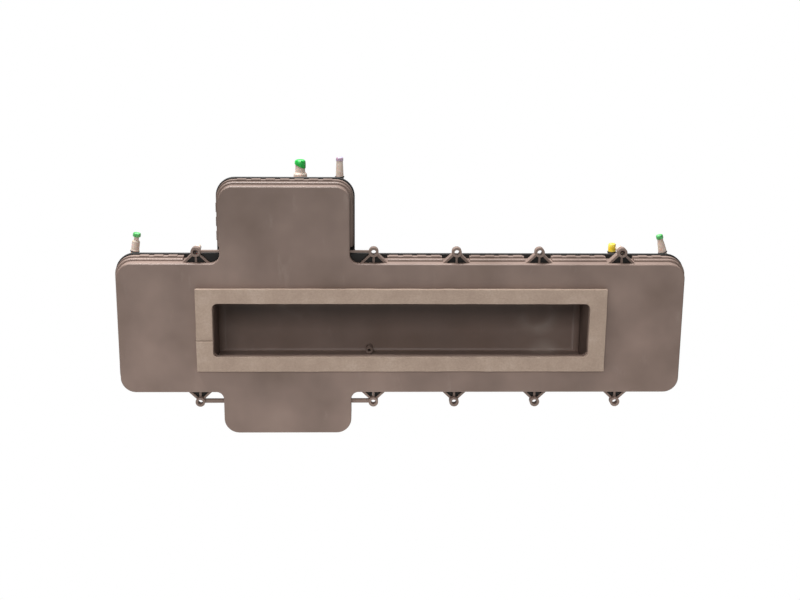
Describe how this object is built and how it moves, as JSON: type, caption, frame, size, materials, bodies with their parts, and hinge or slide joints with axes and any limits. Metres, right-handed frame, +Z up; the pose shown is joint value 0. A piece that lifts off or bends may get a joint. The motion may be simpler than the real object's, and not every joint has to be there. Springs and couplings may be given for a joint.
{
  "type": "air filter housing",
  "caption": "Long two-shell air filter housing with a tower, a foam-sealed intake slot, screw ears, capped hose nipples, a pleated filter and a rear outlet spigot.",
  "frame": {"origin": "middle of the slot's mouth, on the front face of its foam seal", "axes": "+X along the housing to the right as seen from the front, +Y from the slot to the back, +Z up through the tower"},
  "size_m": [0.61, 0.106, 0.2937],
  "materials": {
    "shell_plastic": "moulded taupe polypropylene, satin, slightly blotchy",
    "rear_plastic": "moulded taupe polypropylene, satin",
    "foam": "closed-cell foam sheet, fine grained",
    "black_rubber": "black rubber, matt",
    "filter_frame_plastic": "dark grey moulded plastic",
    "filter_paper": "pleated filter paper, cream",
    "filter_rubber": "soft orange polyurethane",
    "steel_mesh": "stamped steel screen",
    "screw_steel": "zinc-plated steel",
    "nipple_plastic": "natural nylon, satin",
    "green_cap": "soft green vinyl",
    "bright_green_cap": "soft bright green vinyl",
    "violet_cap": "soft pale violet vinyl",
    "yellow_cap": "soft yellow vinyl"
  },
  "bodies": {
    "front": {"front_shell": "shell_plastic", "slot_gasket": "foam", "duct_ends": "shell_plastic", "ear_pads": "black_rubber", "ear_sleeves": "nipple_plastic"},
    "rear": {"rear_shell": "rear_plastic", "perimeter_seal": "black_rubber", "duct_shelf": "rear_plastic", "filter_collar": "rear_plastic", "filter_screen": "steel_mesh", "outlet_spigot": "rear_plastic", "outlet_seal": "black_rubber", "outlet_screws": "screw_steel", "nipple_left": "nipple_plastic", "nipple_breather": "nipple_plastic", "nipple_tap": "nipple_plastic", "nipple_short": "nipple_plastic", "nipple_right": "nipple_plastic", "nipple_rings": "black_rubber"},
    "filter": {"filter_frame": "filter_frame_plastic", "filter_media": "filter_paper", "filter_seal": "filter_rubber"},
    "left_cap": {"cap_left": "green_cap"},
    "breather_cap": {"cap_breather": "bright_green_cap"},
    "tap_cap": {"cap_tap": "violet_cap"},
    "short_cap": {"cap_short": "yellow_cap"},
    "right_cap": {"cap_right": "green_cap"}
  },
  "joints": [
    {"name": "rear_lift", "type": "slide", "parent": "front", "child": "rear", "axis": [0, 1, 0], "range_m": [0, 0.14]},
    {"name": "filter_lift", "type": "slide", "parent": "front", "child": "filter", "axis": [0, 1, 0], "range_m": [0, 0.07]},
    {"name": "left_cap_pull", "type": "slide", "parent": "rear", "child": "left_cap", "axis": [0.1564, 0, 0.9877], "range_m": [0, 0.015]},
    {"name": "breather_cap_pull", "type": "slide", "parent": "rear", "child": "breather_cap", "axis": [0, 0, 1], "range_m": [0, 0.02]},
    {"name": "tap_cap_pull", "type": "slide", "parent": "rear", "child": "tap_cap", "axis": [0, 0, 1], "range_m": [0, 0.012]},
    {"name": "short_cap_pull", "type": "slide", "parent": "rear", "child": "short_cap", "axis": [0, 0, 1], "range_m": [0, 0.018]},
    {"name": "right_cap_pull", "type": "slide", "parent": "rear", "child": "right_cap", "axis": [-0.2419, 0, 0.9703], "range_m": [0, 0.015]}
  ],
  "couplings": [
    {"joint": "filter_lift", "follows": "rear_lift", "ratio": 0.5}
  ]
}
